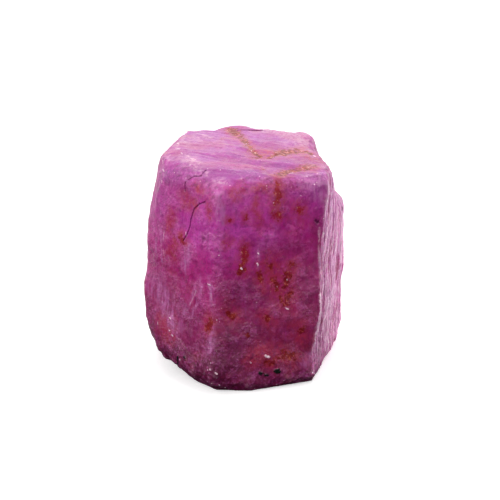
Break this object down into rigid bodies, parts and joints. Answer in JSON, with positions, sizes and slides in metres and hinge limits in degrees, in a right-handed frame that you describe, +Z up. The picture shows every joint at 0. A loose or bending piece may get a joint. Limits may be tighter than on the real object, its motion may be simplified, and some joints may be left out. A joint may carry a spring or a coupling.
{
  "type": "raw ruby crystal",
  "caption": "Uncut ruby crystal: an upright hexagonal prism with a flat top, worn shoulders, a striated side and a flat broken base that it stands on.",
  "frame": {"origin": "on the flat base, under the middle of the crystal's box", "axes": "+Z up along the prism, -Y towards the broad front face, +X towards the narrow striated face"},
  "size_m": [0.014, 0.0148, 0.0157],
  "materials": {
    "ruby": "satin"
  },
  "bodies": {
    "root": {"ruby_crystal": "ruby"}
  },
  "joints": []
}
